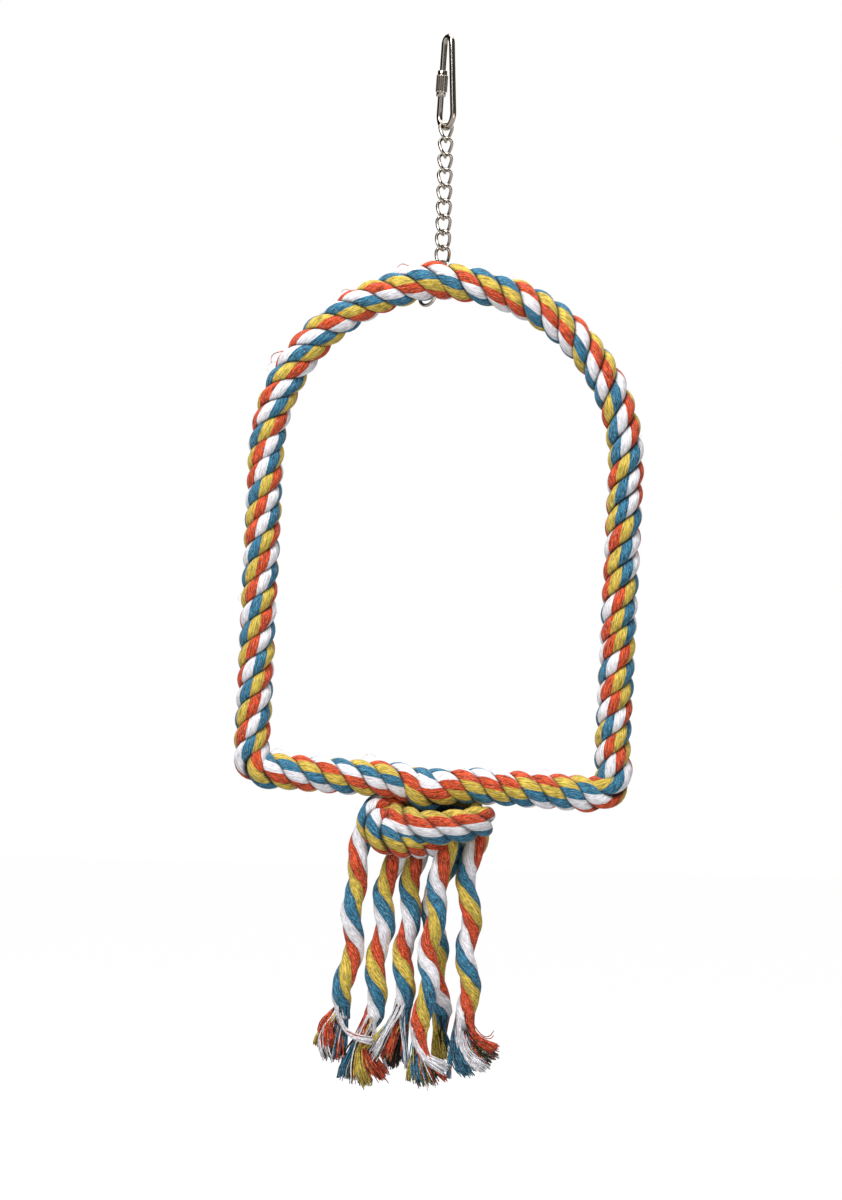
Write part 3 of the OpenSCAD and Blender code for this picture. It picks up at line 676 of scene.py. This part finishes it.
# chain: each link bent from wire and twisted, rounder than the part's own
chain = {"links": 9, "bendR": 3.65, "leg": 3.5, "long": 10.8, "wireR": 0.95, "twist": 100,
    "firstZ": -51.2, "pitch": 8.6, "firstTurn": -10, "stepTurn": -3.5, "bendSteps": 26,
    "legShares": (0.5, 0, -0.5), "sides": 14}
oval = wireOval(chain["bendR"], chain["leg"], chain["bendSteps"], chain["legShares"])
for i in range(chain["links"]):
    twist = chain["twist"] * (0.5 - oval[:, 1] / chain["long"])
    turn = np.radians(chain["firstTurn"] + i * chain["stepTurn"] + twist)
    line, facing = standUp(oval + (0, chain["firstZ"] - i * chain["pitch"]), turn)
    link = rodTube(line, facing, chain["wireR"], chain["sides"], True)
    metalPiece(f"chainLink{i + 1}", link, f"link_{i + 1}", f"chain_link_{i + 1}")
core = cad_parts["core_wire"]  # hidden in the rope, so it keeps the part's own solid
core.data.materials.clear()
core.data.materials.append(coreSteel)

# screw link: one rod bent in a flat pear shape, open in its left leg where the nut goes, sizes as in the
# part's source
hook = {"rodR": 1.75, "topR": 4.0, "topZ": -2.25, "bottomR": 7.5, "bottomZ": -41.25, "slope": 5.149,
    "leg": 38.843, "gateLow": 15.8, "gateTop": 20.8, "turn": -60, "sides": 28, "bendSteps": 30,
    "upperSteps": 14, "rightSteps": 28, "lowerSteps": 12}
lean, spin = math.radians(hook["slope"]), math.radians(hook["turn"])


def onLeg(side, up):
    # place in the link's own plane on its right (1) or left (-1) leg, this far up from the bottom bend
    x = hook["bottomR"] * math.cos(lean) - up * math.sin(lean)
    return side * x, hook["bottomZ"] + hook["bottomR"] * math.sin(lean) + up * math.cos(lean)


flat = [onLeg(-1, q) for q in np.linspace(hook["gateTop"], hook["leg"], hook["upperSteps"])[:-1]]
flat += arcPoints(0, hook["topZ"], hook["topR"], 180 - hook["slope"], hook["slope"], hook["bendSteps"])
flat += [onLeg(1, q) for q in np.linspace(hook["leg"], 0, hook["rightSteps"])[1:-1]]
flat += arcPoints(0, hook["bottomZ"], hook["bottomR"], hook["slope"], -180 - hook["slope"],
    hook["bendSteps"])
flat += [onLeg(-1, q) for q in np.linspace(0, hook["gateLow"], hook["lowerSteps"])[1:]]
line, facing = standUp(flat, spin)
rod = rodTube(line, facing, hook["rodR"], hook["sides"], False)
metalPiece("screwLink", rod, "screw_link", "screw_link")

# sleeve nut: its outline from the bore out and up as radius and height, with plain collars and a fluted
# barrel
nut = {"low": 9.8, "flutes": 14, "fluteDeep": 0.4, "columns": 112, "barrel": (2.7, 11.8), "outline": [
    (1.85, 0.1), (1.95, 0), (2.6, 0), (2.75, 0.15), (2.75, 2.3), (2.76, 2.58), (3.1, 2.62), (3.25, 2.8),
    (3.25, 3.2), (3.25, 11.3), (3.25, 11.7), (3.1, 11.88), (2.76, 11.92), (2.75, 12.2), (2.75, 14.35),
    (2.6, 14.5), (1.95, 14.5), (1.85, 14.4)]}
a = np.linspace(0, fullTurn, nut["columns"] + 1)
flute = nut["fluteDeep"] * (0.5 + 0.5 * np.cos(nut["flutes"] * a[:-1])) ** 2
(foot, above), one = standUp([onLeg(-1, nut["low"]), onLeg(-1, nut["low"] + 1)], spin)
axis = above - foot
two = np.cross(axis, one)
rings = []
for r, up in nut["outline"]:
    radius = r - flute * (nut["barrel"][0] < up < nut["barrel"][1])
    circle = np.cos(a[:-1])[:, None] * one + np.sin(a[:-1])[:, None] * two
    rings.append(foot + axis * up + radius[:, None] * circle)
uv = np.stack(np.meshgrid(np.arange(len(rings) + 1.0), a, indexing="ij"), -1)
metalPiece("sleeveNut", {"rings": np.array(rings), "uv": uv, "loop": True}, "nut", "sleeve_nut")

# ring: flat oval of wire through the rope
ring = {"wireR": 1.0, "bendR": 5.0, "leg": 16.6, "turn": -40, "lean": 25,
    "mid": (-4.3302, -1.0815, -135.5349), "bendSteps": 30, "legShares": (0.7, 0.35, 0, -0.35, -0.7),
    "sides": 20}
oval = wireOval(ring["bendR"], ring["leg"], ring["bendSteps"], ring["legShares"])
line, facing = standUp(oval, 0.0)
pose = np.array(Matrix.Rotation(math.radians(ring["lean"]), 3, "Y")
    @ Matrix.Rotation(math.radians(ring["turn"]), 3, "Z"))
hoop = rodTube(line @ pose.T + ring["mid"], pose @ facing, ring["wireR"], ring["sides"], True)
metalPiece("ropeRing", hoop, "frame", "rope_ring")
print("chain and metal made")

# loose fibres that stand off the rope here and there
fuzz = {
    "seed": 7, "count": 420, "lengthMm": (1.5, 4.5), "hairR": 0.07, "tipShare": 0.5, "steps": 5,
    "sides": 3, "rootShare": 0.8, "curl": (0.3, 1.0), "curlBack": 0.6, "colours": (0, 1, 2, 3, 3),
    "bare": (425, 463),  # mm along the loop without fine fibres, where the last link swings
    # a few whole yarns that have come loose: mm along the loop, angle round it, length, radius, colour
    "strays": [(456, 0.1, 7, 0.26, 0), (463, 0.2, 4, 0.16, 3), (489, -0.1, 5, 0.2, 0),
        (536, 0.05, 9, 0.3, 0), (541, 0.2, 8, 0.2, 3), (668, 0.1, 5, 0.16, 3), (771, 3.1, 7, 0.2, 3),
        (60, 3.0, 6, 0.16, 3), (822, 3.1, 9, 0.2, 3)],
    # how a stray leaves the rope and comes back to it, as shares of its length and of the rope's radius
    "strayRoot": 0.95, "strayRise": 0.45, "strayArch": 0.8, "strayBack": 0.3, "strayTip": 0.6,
    "straySteps": 9, "straySides": 5,
}


def outFrom(at, a):
    # direction away from the rope's middle line at this angle round it
    return math.cos(a) * ropeOut[at] + math.sin(a) * np.cross(ropeWay[at], ropeOut[at])


def addHair(path, r, tipShare, sides, colour):
    radius = np.linspace(r, r * tipShare, len(path))
    hair = strandTube(path, carriedSides(path, (0.3, 1, 0.2)), radius, 0, np.zeros(len(path)), sides, 0)
    hair["uv"][:, :, 0] = (colour + 0.5) / 4
    hairs.append(hair)


rng = random.Random(fuzz["seed"])
hairs = []
for i in range(fuzz["count"]):
    at = rng.randrange(5, len(ropeLine) - 5)
    out = outFrom(at, rng.random() * fullTurn)
    sidewise = rng.choice((-1, 1)) * ropeWay[at]
    length = rng.uniform(*fuzz["lengthMm"])
    curl = rng.uniform(*fuzz["curl"])
    if fuzz["bare"][0] < ropeRun[at] < fuzz["bare"][1]:
        continue
    q = np.linspace(0, 1, fuzz["steps"])[:, None]
    rise = swing["ropeR"] * fuzz["rootShare"] + length * q * (1 - curl * q * fuzz["curlBack"])
    path = ropeLine[at] + out * rise + sidewise * length * curl * q
    addHair(path, fuzz["hairR"], fuzz["tipShare"], fuzz["sides"], rng.choice(fuzz["colours"]))
for place, a, length, r, colour in fuzz["strays"]:
    at = int(np.argmin(abs(ropeRun - place)))
    q = np.linspace(0, 1, fuzz["straySteps"])[:, None]
    arc = np.sin(math.pi * q * fuzz["strayArch"])
    rise = ropeR[at] * fuzz["strayRoot"] + length * fuzz["strayRise"] * arc
    path = ropeLine[at] + outFrom(at, a) * rise + ropeWay[at] * length * (q - fuzz["strayBack"])
    addHair(path, r, fuzz["strayTip"], fuzz["straySides"], colour)
fibres = tubeMesh("looseFibres", hairs, [cottonLaid])
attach(fibres, "frame")
print("fibres added")

# floor, in metres: painted board, even and without shine, shown as plain white but for the shadow
floorSet = {"z": -0.78, "size": 8.0, "colour": "#B9B9B9", "glow": 0.93, "white": 1.06}
half, low = floorSet["size"] / 2, floorSet["z"]
floorMesh = bpy.data.meshes.new("floor")
floorMesh.from_pydata([(-half, -half, low), (half, -half, low), (half, half, low), (-half, half, low)], [],
    [(0, 1, 2, 3)])
floor = bpy.data.objects.new("floor", floorMesh)
scene.collection.objects.link(floor)
paint, tree = newMaterial("mattWhiteBoard")
diffuse = addNode(tree, "ShaderNodeBsdfDiffuse", {"Color": toLinear(floorSet["colour"])})
glow = addNode(tree, "ShaderNodeEmission", {"Strength": floorSet["white"]})
rays = addNode(tree, "ShaderNodeLightPath")
seen = addNode(tree, "ShaderNodeMath", {"operation": "MAXIMUM"},
    {0: rays.outputs["Is Camera Ray"], 1: rays.outputs["Is Glossy Ray"]})
share = addNode(tree, "ShaderNodeMath", {"operation": "MULTIPLY", 1: floorSet["glow"]},
    {0: seen.outputs[0]})
board = addNode(tree, "ShaderNodeMixShader",
    links={0: share.outputs[0], 1: diffuse.outputs[0], 2: glow.outputs[0]})
addNode(tree, "ShaderNodeOutputMaterial", links={0: board.outputs[0]})
floorMesh.materials.append(paint)

# sky: white to the camera, an even low light on cloth, and to the metal a dark room with a pale band
# across it; levels go from the room's front to its back, and turn is its angle, anticlockwise from above
sky = {"light": 0.115, "turn": 60, "room": [(0.0, 0.25), (0.08, 0.04), (0.28, 0.02), (0.32, 1.0),
    (0.64, 1.0), (0.68, 0.02), (1.0, 0.02)]}
roomTurn = math.radians(sky["turn"])
world = bpy.data.worlds.new("studio")
scene.world = world
world.use_nodes = True
tree = world.node_tree
tree.nodes.clear()
rays = addNode(tree, "ShaderNodeLightPath")
place = addNode(tree, "ShaderNodeTexCoord")
toBack = addNode(tree, "ShaderNodeVectorMath",
    {"operation": "DOT_PRODUCT", 1: (-math.sin(roomTurn), math.cos(roomTurn), 0)},
    {0: place.outputs["Generated"]})
depth = addNode(tree, "ShaderNodeMath", {"operation": "MULTIPLY_ADD", 1: 0.5, 2: 0.5},
    {0: toBack.outputs["Value"]})
room = addNode(tree, "ShaderNodeValToRGB", links={0: depth.outputs[0]})
for i, (at, level) in enumerate(sky["room"]):
    stop = room.color_ramp.elements[i] if i < 2 else room.color_ramp.elements.new(at)
    stop.position = at
    stop.color = (level, level, level, 1)
even = addNode(tree, "ShaderNodeMix", {"data_type": "FLOAT", 2: sky["light"]},
    {0: rays.outputs["Is Glossy Ray"], 3: room.outputs[0]})
shown = addNode(tree, "ShaderNodeMix", {"data_type": "FLOAT", 3: 1.0},
    {0: rays.outputs["Is Camera Ray"], 2: even.outputs[0]})
back = addNode(tree, "ShaderNodeBackground", {"Color": (1, 1, 1, 1)}, {"Strength": shown.outputs[0]})
addNode(tree, "ShaderNodeOutputWorld", links={0: back.outputs[0]})

# lamps, in metres and watts
lamps = {
    "key": {"at": (-0.68, -1.1, 0.88), "size": 0.95, "power": 33.5},
    "fill": {"at": (0.7, -1.3, -0.55), "size": 1.0, "power": 7.5},
    "top": {"at": (0.1, 0.1, 1.0), "size": 1.3, "power": 16},
    "back": {"at": (0.4, 1.5, 0.3), "size": 2.4, "power": 17},
}
aim = np.array([0, 0, -0.3])
nearlyUp = (0.01, 0.02, 1)  # leans a little so that it is never in line with a lamp
for name, lamp in lamps.items():
    data = bpy.data.lights.new(name, "AREA")
    data.size = lamp["size"]
    data.energy = lamp["power"]
    light = bpy.data.objects.new(name, data)
    scene.collection.objects.link(light)
    back = unit(np.array(lamp["at"]) - aim)
    right = unit(np.cross(nearlyUp, back))
    turned = np.stack([right, np.cross(back, right), back], 1)
    light.matrix_world = Matrix([[*row, p] for row, p in zip(turned, lamp["at"])] + [[0, 0, 0, 1]])
print("lit")
